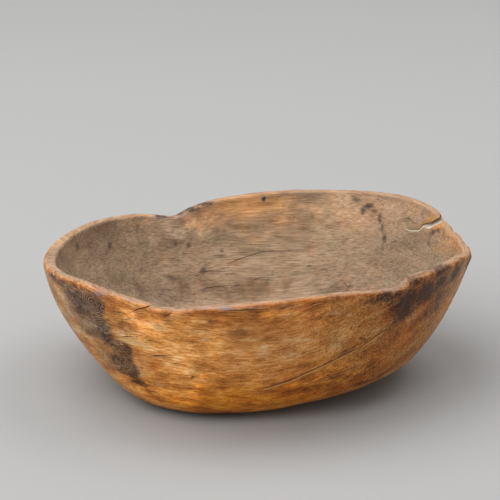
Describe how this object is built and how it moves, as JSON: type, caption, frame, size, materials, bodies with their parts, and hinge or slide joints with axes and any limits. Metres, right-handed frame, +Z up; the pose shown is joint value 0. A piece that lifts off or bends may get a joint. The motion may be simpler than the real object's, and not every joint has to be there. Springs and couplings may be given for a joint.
{
  "type": "carved wooden bowl",
  "caption": "Oval bowl hollowed from one block of wood, with an uneven worn rim, a drawn-in stretch at the back, a split and a broken edge at one end, and a small flat to stand on.",
  "frame": {"origin": "middle of the bowl's plan, on the surface that it stands on", "axes": "+X along the length of the oval and along the grain, towards the split end; +Y across it, towards the drawn-in side; +Z up"},
  "size_m": [0.3594, 0.3005, 0.122],
  "materials": {
    "carved_wood": "hand-carved and worn, orange-brown outside, grey-brown inside"
  },
  "bodies": {
    "root": {"bowl": "carved_wood"}
  },
  "joints": []
}
